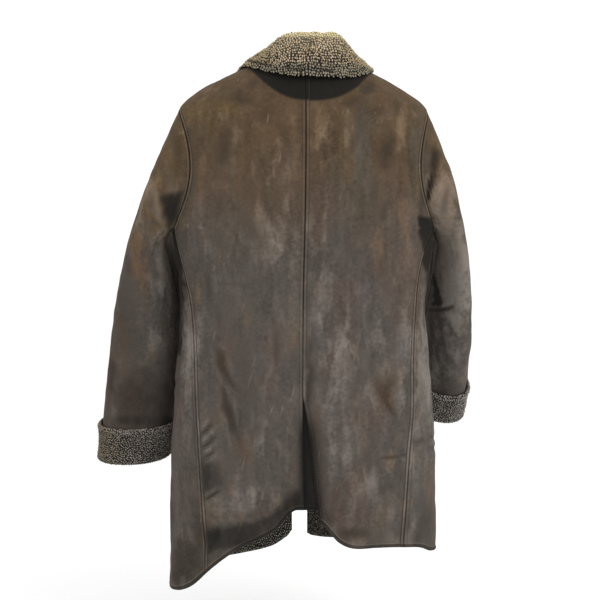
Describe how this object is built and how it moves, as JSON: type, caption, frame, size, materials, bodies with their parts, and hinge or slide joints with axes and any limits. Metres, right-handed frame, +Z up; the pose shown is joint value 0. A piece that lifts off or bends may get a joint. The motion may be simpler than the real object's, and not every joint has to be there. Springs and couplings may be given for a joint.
{
  "type": "faux shearling coat",
  "caption": "Hip-length faux shearling coat, upright and hollow as if worn, with curly pile collar and turned-up cuffs and a vent in the back.",
  "frame": {"origin": "centre of the neck opening, level with the neck ends of the shoulder seams", "axes": "+Z up the wearer's spine, +Y towards the back, +X towards the wearer's left"},
  "size_m": [0.7152, 0.3582, 0.9921],
  "materials": {
    "suede": "brushed faux suede, warm brown at the shoulders to grey brown at the hem, matt with a short mottled nap",
    "pile": "curly faux shearling pile, grey brown with cream tips, matt"
  },
  "bodies": {
    "root": {"back_left": "suede", "back_right": "suede", "side_left": "suede", "side_right": "suede", "front_left": "suede", "front_right": "suede", "sleeve_left": "suede", "sleeve_right": "suede", "vent_underlap": "suede", "cuff_left": "pile", "cuff_right": "pile", "collar": "pile"}
  },
  "joints": []
}
